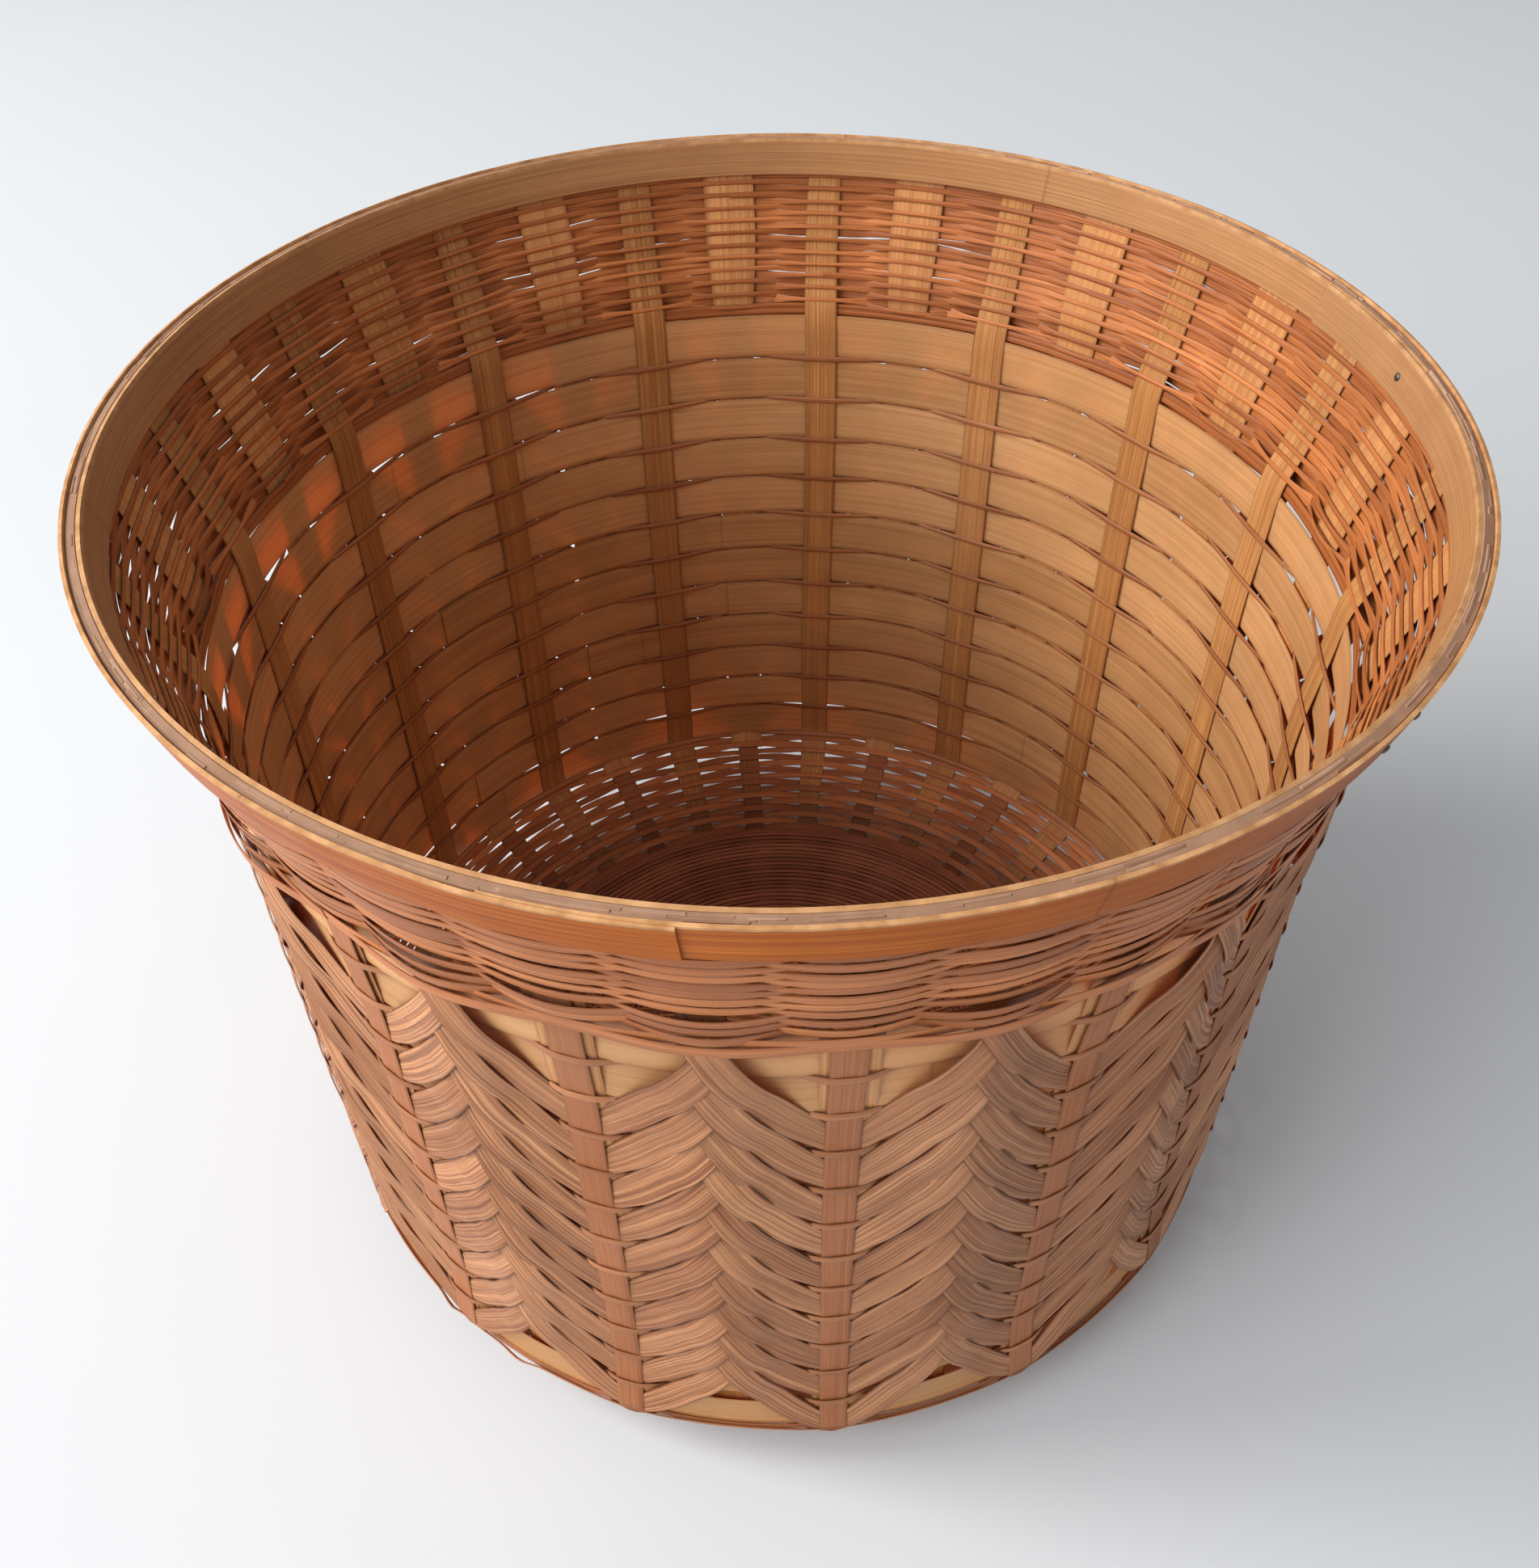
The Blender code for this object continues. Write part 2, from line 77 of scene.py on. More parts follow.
FOOT_HEIGHT = 1.2 * MM
PLATEAU_HEIGHT = high("base_weave").z - 0.25 * MM
PLATEAU_RADIUS = 44 * MM
RIM_HEIGHT = high("outer_hoop").z
HOOP_HEIGHT = high("outer_hoop").z - low("outer_hoop").z
INNER_HOOP_HEIGHT = high("inner_hoop").z - low("inner_hoop").z
RIM_RADIUS = -low("outer_hoop").y

# Splints
STAKE_THICKNESS = 0.6 * MM
INNER_STAKE_WIDTH = 11.5 * MM
OUTER_STAKE_WIDTH = 8.8 * MM
CENTRE_STAKE_WIDTH = 8.0 * MM
BACKING_THICKNESS = 0.4 * MM
OUTER_STAKE_OFFSET = 1.9 * MM
INNER_STAKE_OFFSET = -1.0 * MM
BACKING_OFFSET = 0.95 * MM
HOOP_SEAT = 1.45 * MM
ZIGZAG_RISE_LEFT = 42.6 * MM
ZIGZAG_RISE_RIGHT = 35.8 * MM
PILE_START = 0.85 * MM
PILE_GAP = 0.3 * MM
BAND_SPLINT = 0.66 * MM
BAND_EXTRA = 1.35 * MM
BAND_LAP = 1.6 * STEP
BACKING_WIDTH = 14 * MM
BACKING_FLARE = 3.5 * MM
WEAVER_THICKNESS = 0.6 * MM
FINE_THICKNESS = 0.5 * MM
ZIGZAG_THICKNESS = 0.45 * MM
ZIGZAG_HANG = 6.3 * MM
ZIGZAG_OFFSET = 1.3 * MM
ZIGZAG_BULGE = 4.1 * MM
TOP_ZIGZAG_BULGE = 3.0 * MM
FLARE_PITCH = 2.1 * MM
LOWER_PITCH = 3.2 * MM
BASE_PITCH = 2.5 * MM
BASE_THICKNESS = 1.15 * MM
ROPE_THICKNESS = 1.25 * MM
ROPE_OFFSET = 0.95 * MM
# Angles in degrees at which the border's outer strand stands away, and how far that spreads
SLACK_PLACES = ((-138.0, 1.4), (-127.0, 2.0))

# Rim
OUTER_HOOP_THICKNESS = 1.2 * MM
INNER_HOOP_THICKNESS = 1.4 * MM
OUTER_LAP = (math.radians(-113.5), math.radians(12.2))
INNER_LAP = (math.radians(-1.0), math.radians(17.0))
NAIL_HEAD = 1.15 * MM
NAIL_ANGLES = (-113.0, -50.5, -46.0)
INNER_NAIL_ANGLE = 1.6
FILLER_DEPTH = 0.42 * MM
SPLINT_ENDS = 150

# The basket is a little out of true: its wall is pressed in at the front right, at mid height
DENT = 4.3 * MM
DENT_ANGLE = math.radians(-65.0)


def rounded(points, cuts):
    """A polyline whose corners are cut back and rounded."""
    dense = [np.array(points[0], float)]
    for before, corner, after, cut in zip(points, points[1:], points[2:], cuts):
        before, corner, after = (np.array(p, float) for p in (before, corner, after))
        start = corner + (before - corner) / np.linalg.norm(before - corner) * cut
        end = corner + (after - corner) / np.linalg.norm(after - corner) * cut
        for t in np.linspace(0, 1, 9):
            dense.append((1 - t) ** 2 * start + 2 * t * (1 - t) * corner + t * t * end)
    dense.append(np.array(points[-1], float))
    return np.array(dense)


# The middle of the wall as radius and height, from the rim down and in to the centre
SLOPE = (FLARE_TOP_RADIUS - NECK_RADIUS) / (FLARE_TOP - NECK_HEIGHT)
PATH = rounded(
    [(FLARE_TOP_RADIUS + SLOPE * (RIM_HEIGHT - FLARE_TOP), RIM_HEIGHT),
     (NECK_RADIUS, NECK_HEIGHT),
     (BORDER_RADIUS, BORDER_HEIGHT),
     (FOOT_RADIUS, FOOT_HEIGHT),
     (PLATEAU_RADIUS, PLATEAU_HEIGHT),
     (0.0, PLATEAU_HEIGHT)],
    [6 * MM, 4 * MM, 6 * MM, 8 * MM])
RUN = np.concatenate([[0], np.cumsum(np.linalg.norm(np.diff(PATH, axis=0), axis=1))])


def run_at_height(height):
    """Length along the wall's middle, from the rim, down to a height on the upper wall."""
    upper = PATH[:, 1] > BORDER_HEIGHT - 1 * MM
    return np.interp(-np.asarray(height, float), -PATH[upper, 1], RUN[upper])


def run_at_radius(radius):
    """Length along the wall's middle, from the rim, in to a radius on the base."""
    inner = RUN > run_at_height(BORDER_HEIGHT)
    return np.interp(-np.asarray(radius, float), -PATH[inner, 0], RUN[inner])


RUN_NECK = float(run_at_height(NECK_HEIGHT))
RUN_BORDER = float(run_at_height(BORDER_HEIGHT))
RUN_FOOT = float(run_at_radius(FOOT_RADIUS))
RUN_PLATEAU = float(run_at_radius(PLATEAU_RADIUS))
RUN_END = float(RUN[-1])


def dent(angle, height):
    """How far the wall is pressed in at its waist."""
    waist = smooth(height, BORDER_HEIGHT - 6 * MM, BORDER_HEIGHT + 34 * MM)
    waist = waist * (1 - smooth(height, NECK_HEIGHT - 48 * MM, NECK_HEIGHT + 2 * MM))
    facing = ((1 + np.cos(angle - DENT_ANGLE)) / 2) ** 1.4
    return DENT * waist * facing


def on_wall(run, angle, offset):
    """Points of the wall and their outward normals, for a run, an angle and an offset."""
    run, angle, offset = np.broadcast_arrays(*(np.asarray(a, float) for a in (run, angle, offset)))
    height = np.interp(run, RUN, PATH[:, 1])
    radius = np.interp(run, RUN, PATH[:, 0]) - dent(angle, height)
    reach = 1.5 * MM
    along_r = np.interp(run + reach, RUN, PATH[:, 0]) - np.interp(run - reach, RUN, PATH[:, 0])
    along_z = np.interp(run + reach, RUN, PATH[:, 1]) - np.interp(run - reach, RUN, PATH[:, 1])
    length = np.hypot(along_r, along_z)
    out_r, out_z = -along_z / length, along_r / length
    cos, sin = np.cos(angle), np.sin(angle)
    r = radius + out_r * offset
    points = np.stack([r * cos, r * sin, height + out_z * offset], -1)
    normals = np.stack([out_r * cos, out_r * sin, out_z], -1)
    return points, normals


def smooth(x, start, end):
    """Smooth step from 0 at start to 1 at end."""
    t = np.clip((np.asarray(x, float) - start) / (end - start), 0, 1)
    return t * t * (3 - 2 * t)


def wander(count, size, waves=4):
    """A slow random curve over count stations, about zero."""
    t = np.linspace(0, 2 * math.pi, count)
    curve = np.zeros(count)
    for wave in range(1, waves + 1):
        curve += RANDOM.normal() / wave * np.sin(wave * t + RANDOM.uniform(0, 2 * math.pi))
    return curve * size


def section(count, edge=0.16, power=8):
    """Outline of a splint's section: place across, -1 to 1, and share of the half thickness."""
    across = np.sin(np.linspace(-math.pi / 2, math.pi / 2, count))
    return across, np.maximum(edge, (1 - np.abs(across) ** power) ** 0.5) / 2


def comb(count, edge=0.16):
    """Outline of a grooved splint: evenly spaced across, with thin edges."""
    across = np.linspace(-1, 1, count)
    return across, np.maximum(edge, (1 - np.abs(across) ** 12) ** 0.5) / 2


BROAD = section(9)
NARROW = section(5)
GROOVED = comb(15)
FIBRED = comb(21)
FLAT = section(5, 0.3, 6)
ROUND = section(5, 0.12, 2.2)


class Strips:
    """Strips of splint collected into one mesh."""

    def __init__(self):
        self.points, self.quads, self.grain, self.tone, self.count = [], [], [], [], 0

    def add(self, path, normals, width, thickness, shape=BROAD, groove=0.0, tone=None,
            lean=0.0, level=None, crest=None):
        """Sweep a section along a path, grooved along its length.

        lean moves what lies below the level outward, in proportion to its depth below it;
        crest moves every point outward by what it gives for the point's angle.
        """
        path = np.asarray(path, float)
        stations = len(path)
        along = np.gradient(path, axis=0)
        along /= np.linalg.norm(along, axis=1)[:, None]
        out = normals - along * np.sum(normals * along, axis=1)[:, None]
        out /= np.linalg.norm(out, axis=1)[:, None]
        side = np.cross(along, out)
        width = np.broadcast_to(np.asarray(width, float), (stations,))
        thickness = np.broadcast_to(np.asarray(thickness, float), (stations,))
        across, half = shape
        m = len(across)
        a = np.concatenate([across, across[::-1]])
        h = np.concatenate([half, -half[::-1]])
        depth = RANDOM.uniform(0, 1, 2 * m) ** 2
        dents = np.concatenate([-depth[:m], depth[m:]]) * groove
        place = (path[:, None, :]
                 + side[:, None, :] * (a[None, :] * width[:, None] / 2)[..., None]
                 + out[:, None, :] * (h[None, :] * thickness[:, None] + dents[None, :])[..., None])
        if level is not None:
            lean = np.broadcast_to(np.asarray(lean, float), (stations,))[:, None]
            depth_below = np.asarray(level, float)[:, None] - place[..., 2]
            place = place + out[:, None, :] * (lean * depth_below)[..., None]
        if crest:
            bulge = crest(np.arctan2(place[..., 1], place[..., 0]))
            place = place + out[:, None, :] * bulge[..., None]
        run = np.concatenate([[0], np.cumsum(np.linalg.norm(np.diff(path, axis=0), axis=1))])
        run += RANDOM.uniform(0, 3)
        grain = np.empty((stations, 2 * m, 3))
        grain[..., 0] = run[:, None]
        grain[..., 1] = a[None, :] * width[:, None] / 2
        # Painted shade: the strip's side edges, and on grooved strips its deeper grooves, get a darkening
        # share in the grain's third value
        wear_and_edge_shade = np.clip((np.abs(a) - 0.90) / 0.10, 0, 1)
        grain[..., 2] = np.maximum(wear_and_edge_shade, 0.5 * depth if groove > 0.04 * MM else 0.0)[None, :]
        ring = np.arange(2 * m)
        after = (ring + 1) % (2 * m)
        base = (np.arange(stations - 1) * 2 * m)[:, None] + self.count
        body = np.stack([base + ring, base + after, base + after + 2 * m, base + ring + 2 * m], -1)
        i = np.arange(m - 1)
        start = np.stack([2 * m - 1 - i, 2 * m - 2 - i, i + 1, i], -1) + self.count
        end = np.stack([i, i + 1, 2 * m - 2 - i, 2 * m - 1 - i], -1) + self.count + (stations - 1) * 2 * m
        self.points.append(place.reshape(-1, 3))
        self.grain.append(grain.reshape(-1, 3))
        tone = RANDOM.uniform(-1, 1) if tone is None else tone
        self.tone.append(np.full(stations * 2 * m, tone))
        self.quads += [body.reshape(-1, 4), start, end]
        self.count += stations * 2 * m

    def build(self, name, material, slot, *nodes):
        """Make the piece, hang it on the basket and hide the CAD nodes it replaces."""
        mesh = bpy.data.meshes.new(name)
        mesh.from_pydata(np.concatenate(self.points), [], np.concatenate(self.quads))
        grain = mesh.attributes.new("grain", "FLOAT_VECTOR", "POINT")
        grain.data.foreach_set("vector", np.concatenate(self.grain).astype(np.float32).ravel())
        tone = mesh.attributes.new("tone", "FLOAT", "POINT")
        tone.data.foreach_set("value", np.concatenate(self.tone).astype(np.float32))
        mesh.shade_smooth()
        mesh.set_sharp_from_angle(angle=math.radians(50))
        mesh.materials.append(material)
        piece = bpy.data.objects.new(name, mesh)
        bpy.context.scene.collection.objects.link(piece)
        return declare(piece, slot, *nodes)


def declare(piece, slot, *nodes):
    """The piece rides on the basket and replaces CAD nodes. The slot is not used."""
    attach(piece, "root")
    if nodes:
        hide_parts(*nodes)
    return piece


# Materials
class Shader:
    """A small helper that adds and links nodes of one material."""

    def __init__(self, name):
        self.material = bpy.data.materials.new(name)
        self.material.use_nodes = True
        self.tree = self.material.node_tree
        self.tree.nodes.clear()

    def node(self, kind, **inputs):
        """Add a node; keyword values set its inputs or, for a socket, link them."""
        made = self.tree.nodes.new(kind)
        for key, value in inputs.items():
            if hasattr(made, key) and key not in made.inputs:
                setattr(made, key, value)
                continue
            socket = made.inputs[int(key[1:])] if key[0] == "_" else made.inputs[key.replace("_", " ")]
            if isinstance(value, bpy.types.NodeSocket):
                self.tree.links.new(value, socket)
            else:
                socket.default_value = value
        return made

    def math(self, operation, first, second=0.0, third=0.0):
        """A Math node's value."""
        return self.node("ShaderNodeMath", operation=operation, _0=first, _1=second, _2=third).outputs[0]

    def mix(self, share, first, second, blend="MIX"):
        """A colour mix."""
        node = self.node("ShaderNodeMix", data_type="RGBA", blend_type=blend, _0=share, _6=first, _7=second)
        return node.outputs[2]

    def spread(self, value, start, end, to_start=0.0, to_end=1.0):
        """Map a range to another and clamp it."""
        return self.node("ShaderNodeMapRange", _0=value, _1=start, _2=end, _3=to_start, _4=to_end).outputs[0]

    def noise(self, vector, scale, detail=2.0, roughness=0.5):
        """A noise value."""
        node = self.node("ShaderNodeTexNoise", Vector=vector, Scale=scale, Detail=detail, Roughness=roughness)
        return node.outputs[0]


def colour(r, g, b):
    """A linear colour from the values of a display, 0 to 255."""
    def linear(v):
        v /= 255
        return v / 12.92 if v <= 0.04045 else ((v + 0.055) / 1.055) ** 2.4
    return (linear(r), linear(g), linear(b), 1.0)


def splint(name, pale, deep, roughness=0.45, fibre=0.5, blotch=0.35, variety=0.22,
           coat=0.0, glow=0.0, joint=0.0, edge=0.5, patch=26.0, sheen=0.3, darkening_near_floor=0.0,
           worn_top=0.0, contrast=0.18):
    """Split bamboo: streaks and fibres along the grain, tone by strip, patches, painted shade at the edges
    and in deep grooves.
    """
    s = Shader(name)
    grain = s.node("ShaderNodeAttribute", attribute_name="grain")
    tone = s.node("ShaderNodeAttribute", attribute_name="tone").outputs["Fac"]
    parts = s.node("ShaderNodeSeparateXYZ", _0=grain.outputs["Vector"])
    u, v, rim = parts.outputs[0], parts.outputs[1], parts.outputs[2]
    place = s.node("ShaderNodeTexCoord").outputs["Object"]
    layer = s.math("MULTIPLY", tone, 37.0)
    streak_at = s.node("ShaderNodeCombineXYZ", _0=s.math("MULTIPLY", u, 7.0),
                       _1=s.math("MULTIPLY", v, 1500.0), _2=layer).outputs[0]
    fibre_at = s.node("ShaderNodeCombineXYZ", _0=s.math("MULTIPLY", u, 30.0),
                      _1=s.math("MULTIPLY", v, 5200.0), _2=layer).outputs[0]
    streak = s.spread(s.noise(streak_at, 1.0, 3.0, 0.6), 0.5 - contrast, 0.5 + contrast)
    fibres = s.spread(s.noise(fibre_at, 1.0, 2.0, 0.6), 0.5 - 0.85 * contrast, 0.5 + 0.85 * contrast)
    patches = s.spread(s.noise(place, patch, 4.0, 0.62), 0.36, 0.70)
    grey = s.spread(s.noise(place, 9.0, 3.0, 0.6), 0.45, 0.72)
    base = s.mix(s.math("MULTIPLY_ADD", fibres, 0.35, s.math("MULTIPLY", streak, 0.65)), deep, pale)
    # A pale grey of wear, mixed in by patches
    wear_and_edge_shade = tuple(0.62 * c + 0.10 for c in pale[:3]) + (1.0,)
    base = s.mix(s.math("MULTIPLY", grey, 0.22), base, wear_and_edge_shade)
    base = s.mix(s.math("MULTIPLY", s.math("SUBTRACT", 1.0, patches), blotch), base,
                 tuple(0.45 * c for c in deep[:3]) + (1.0,))
    level = s.math("MULTIPLY_ADD", tone, variety, 1.0)
    tint = s.node("ShaderNodeCombineColor", _0=level, _1=s.math("MULTIPLY_ADD", tone, variety * 1.25, 1.0),
                  _2=s.math("MULTIPLY_ADD", tone, variety * 1.5, 1.0)).outputs[0]
    base = s.mix(1.0, base, tint, "MULTIPLY")
    if darkening_near_floor:
        # Near the floor the splints are darker, towards a deep brown
        low_part = s.spread(s.node("ShaderNodeSeparateXYZ", _0=place).outputs[2],
                            6 * MM, 13 * MM, darkening_near_floor, 0.0)
        base = s.mix(low_part, base, colour(66, 34, 22))
    if worn_top:
        # The rim's top is rubbed to a dull grey-brown
        top_part = s.spread(s.node("ShaderNodeSeparateXYZ", _0=place).outputs[2],
                            RIM_HEIGHT - 1.3 * MM, RIM_HEIGHT - 0.5 * MM, 0.0, worn_top)
        spots = s.spread(s.noise(place, 150.0, 4.0, 0.6), 0.36, 0.66)
        base = s.mix(top_part, base, s.mix(spots, colour(176, 128, 84), colour(222, 172, 122)))
    # Painted shade: the strip's side edges and its deeper grooves are darkened towards a deep brown
    edges = s.math("MULTIPLY", rim, edge)
    base = s.mix(edges, base, tuple(0.30 * c for c in deep[:3]) + (1.0,))
    height = s.math("ADD", s.math("MULTIPLY", fibres, 0.6), s.math("MULTIPLY", streak, 0.4))
    if joint:
        # Bamboo joints: a thin dark line and a low swelling across the strip
        turns = s.math("FRACT", s.math("MULTIPLY_ADD", tone, 5.3, s.math("DIVIDE", u, joint)))
        away = s.math("ABSOLUTE", s.math("SUBTRACT", turns, 0.5))
        line = s.spread(away, 0.0, 0.7 * MM / joint, 1.0, 0.0)
        swell = s.spread(away, 0.0, 4.0 * MM / joint, 1.0, 0.0)
        base = s.mix(s.math("MULTIPLY", line, 0.4), base, tuple(0.35 * c for c in deep[:3]) + (1.0,))
        height = s.math("ADD", height, s.math("MULTIPLY", swell, 1.6))
    bump = s.node("ShaderNodeBump", Strength=fibre, Distance=0.18 * MM, Height=height).outputs[0]
    rough = s.spread(s.math("ADD", fibres, patches), 0.0, 2.0, roughness + 0.10, roughness - 0.08)
    shader = s.node("ShaderNodeBsdfPrincipled", Base_Color=base, Roughness=rough, Normal=bump)
    shader.inputs["Specular IOR Level"].default_value = sheen
    shader.inputs["Coat Weight"].default_value = coat
    shader.inputs["Coat Roughness"].default_value = 0.25
    surface = shader.outputs[0]
    if glow:
        through = s.node("ShaderNodeBsdfTranslucent", Color=s.mix(0.75, base, (0.95, 0.27, 0.03, 1.0)),
                         Normal=bump).outputs[0]
        surface = s.node("ShaderNodeMixShader", _0=glow, _1=surface, _2=through).outputs[0]
    s.node("ShaderNodeOutputMaterial", Surface=surface)
    return s.material


def steel(name):
    """Small dull steel nail."""
    s = Shader(name)
    place = s.node("ShaderNodeTexCoord").outputs["Object"]
    spots = s.spread(s.noise(place, 2500.0, 3.0), 0.4, 0.7)
    base = s.mix(spots, colour(120, 112, 104), colour(70, 50, 38))
    shader = s.node("ShaderNodeBsdfPrincipled", Base_Color=base, Metallic=0.8, Roughness=0.42)
    s.node("ShaderNodeOutputMaterial", Surface=shader.outputs[0])
    return s.material


BAND = splint("band_bamboo", colour(255, 210, 148), colour(234, 170, 106), 0.42, 0.45, 0.26, 0.12,
              coat=0.08, glow=0.32, joint=0.62)
INNER = splint("inner_stake_bamboo", colour(238, 176, 108), colour(180, 110, 58), 0.45, 0.8, 0.30, 0.12,
               glow=0.04, darkening_near_floor=0.7)
OUTER = splint("outer_stake_bamboo", colour(190, 122, 78), colour(150, 88, 52), 0.46, 0.3, 0.18, 0.08,
               sheen=0.15, darkening_near_floor=0.7)
BACKING = splint("backing_bamboo", colour(236, 170, 106), colour(190, 122, 70), 0.48, 0.5, 0.20, 0.12)
THIN = splint("narrow_weaver_bamboo", colour(200, 134, 84), colour(152, 88, 50), 0.44, 0.5, 0.30, 0.16)
ZIGZAG = splint("zigzag_bamboo", colour(255, 186, 130), colour(148, 78, 43), 0.46, 0.9, 0.22, 0.17,
                glow=0.16, edge=0.9, contrast=0.155)
FINE = splint("fine_weaver_bamboo", colour(230, 146, 82), colour(156, 80, 38), 0.42, 0.5, 0.30, 0.24,
              coat=0.06, glow=0.05, darkening_near_floor=0.35)
BASE = splint("base_weaver_bamboo", colour(190, 116, 80), colour(112, 62, 42), 0.50, 0.5, 0.34, 0.22)
BORDER = splint("border_bamboo", colour(214, 148, 100), colour(168, 100, 60), 0.46, 0.5, 0.30, 0.14)
HOOP_OUT = splint("outer_hoop_bamboo", colour(212, 120, 32), colour(142, 58, 10), 0.38, 0.22, 0.34, 0.05,
                  coat=0.05, joint=0.47, edge=0.0, patch=14.0, sheen=0.06, worn_top=0.9)
HOOP_IN = splint("inner_hoop_bamboo", colour(202, 150, 98), colour(162, 109, 68), 0.50, 0.4, 0.24, 0.05,
                 joint=0.41, edge=0.0, sheen=0.2, worn_top=0.7)
FILLER = splint("filler_bamboo", colour(232, 186, 152), colour(184, 138, 108), 0.75, 0.5, 0.36, 0.16,
                patch=120.0)
STEEL = steel("nail_steel")


# Pieces
def stake_stations():
    """Runs along one half of a long splint, close together at the bends."""
    return np.concatenate([
        np.linspace(2 * MM, RUN_NECK + 12 * MM, 34),
        np.linspace(RUN_NECK + 14 * MM, RUN_BORDER - 8 * MM, 40),
        np.linspace(RUN_BORDER - 6 * MM, RUN_BORDER + 8 * MM, 12),
        np.linspace(RUN_BORDER + 10 * MM, RUN_END, 44)])


def splint_offset(run, wall_offset, level):
    """A stake's distance from the wall's middle: none where it is woven, clear of the bands between."""
    below_flare = smooth(run, RUN_NECK - 16 * MM, RUN_NECK - 2 * MM)
    above_border = 1 - smooth(run, RUN_BORDER - 3 * MM, RUN_BORDER + 9 * MM)
    piled = smooth(run, RUN_PLATEAU - 4 * MM, RUN_PLATEAU + 18 * MM)
    return wall_offset * below_flare * above_border + level * piled


def make_stakes():
    """Sixteen long splints from wall to wall, alternately inside and outside."""
    runs = stake_stations()
    layer = STAKE_THICKNESS + PILE_GAP
    for number in range(END_COUNT // 4):
        for outer in (True, False):
            angle = FRONT + 2 * number * STEP + (0 if outer else STEP)
            wall = OUTER_STAKE_OFFSET if outer else INNER_STAKE_OFFSET
            level = (PILE_START + number * layer) * (1 if outer else -1)
            full = OUTER_STAKE_WIDTH if outer else INNER_STAKE_WIDTH
            offset = splint_offset(runs, wall, level)
            wide = full + (CENTRE_STAKE_WIDTH - full) * smooth(runs, RUN_BORDER, RUN_FOOT)
            drift = wander(len(runs), 0.4 * MM)
            near, near_out = on_wall(runs, angle + drift / NECK_RADIUS, offset)
            drift = wander(len(runs), 0.4 * MM)
            far, far_out = on_wall(runs, angle + math.pi + drift / NECK_RADIUS, offset)
            ends = np.linspace(0, 1, len(runs))
            blend = (1 - smooth(ends, 0.85, 1.0))[:, None]
            near[:, :2] = near[:, :2] * blend + on_wall(runs, angle, offset)[0][:, :2] * (1 - blend)
            far[:, :2] = far[:, :2] * blend + on_wall(runs, angle + math.pi, offset)[0][:, :2] * (1 - blend)
            path = np.concatenate([near[:-1], far[::-1]])
            normals = np.concatenate([near_out[:-1], far_out[::-1]])
            width = np.concatenate([wide[:-1], wide[::-1]])
            width = width * (1 + wander(len(width), 0.018))
            strips = Strips()
            shape, groove = (BROAD, 0.02 * MM) if outer else (GROOVED, 0.10 * MM)
            strips.add(path, normals, width, STAKE_THICKNESS, shape, groove)
            kind = "outer_stake" if outer else "inner_stake"
            name = f"{kind}_{number + 1:02d}"
            strips.build(f"long_{name}", OUTER if outer else INNER, kind, name)


def make_backing():
    """Wider splints behind the outer stakes, from the rim to the border."""
    strips = Strips()
    runs = np.concatenate([np.linspace(2 * MM, RUN_NECK + 10 * MM, 34),
                           np.linspace(RUN_NECK + 12 * MM, RUN_BORDER + 6 * MM, 36)])
    for number in range(END_COUNT // 2):
        angle = FRONT + 2 * number * STEP
        offset = (BACKING_OFFSET * smooth(runs, RUN_NECK - 16 * MM, RUN_NECK - 2 * MM)
                  - 0.5 * MM * (1 - smooth(runs, RUN_NECK - 16 * MM, RUN_NECK - 2 * MM)))
        shift = RANDOM.normal() * 0.5 * MM
        width = BACKING_WIDTH + BACKING_FLARE * (1 - smooth(runs, RUN_NECK - 30 * MM, RUN_NECK + 6 * MM))
        path, normals = on_wall(runs, angle + (shift + wander(len(runs), 0.3 * MM)) / NECK_RADIUS, offset)
        strips.add(path, normals, width, BACKING_THICKNESS, GROOVED, 0.10 * MM)
    strips.build("backing_splints", BACKING, "outer_stake")


def make_bands():
    """Wide bands; each goes once round and laps over its own start by a little more than a stake."""
    for number in range(1, BAND_COUNT + 1):
        node = f"wide_band_{number:02d}"
        middle = (low(node).z + high(node).z) / 2
        start = FRONT + STEP * (2 * RANDOM.integers(0, 16) + 1) - 2.0 * STEP / 5
        count = 420
        turn = np.linspace(0, 2 * math.pi + BAND_LAP, count)
        angle = start + turn
        offset = 0.38 * MM - 0.76 * MM * turn / turn[-1]
        offset = offset + 0.10 * MM * np.cos(16 * (angle - FRONT) + math.pi)
        height = middle + wander(count, 0.10 * MM, 9)
        width = BAND_HEIGHT + BAND_EXTRA + wander(count, 0.30 * MM, 24)
        path, normals = on_wall(run_at_height(height), angle, offset)
        strips = Strips()
        strips.add(path, normals, width, BAND_SPLINT, GROOVED, 0.05 * MM)
        strips.build(f"band_{number:02d}", BAND, "wide_band", node)


def past_stakes(angle):
    """Offset and height of a thin weaver that runs over the outer stakes and inside the inner ones."""
    across = np.array([0, 4.5, 6.6, 9.2, 13.0, 20.0, 25.0, 31.5]) * MM
    offsets = np.array([2.62, 2.52, 1.9, 0.55, -0.2, -1.0, -1.62, -1.78]) * MM
    heights = np.array([2.5, 2.5, 2.4, 2.0, 1.6, 1.8, 2.1, 2.1]) * MM
    beside = np.abs((angle - FRONT + STEP) % (2 * STEP) - STEP) * NECK_RADIUS
    sharp = np.pad(np.interp(beside, across, offsets), 2, mode="edge")
    offset = np.convolve(sharp, np.ones(5) / 5, mode="valid")
    return offset, np.interp(beside, across, heights)


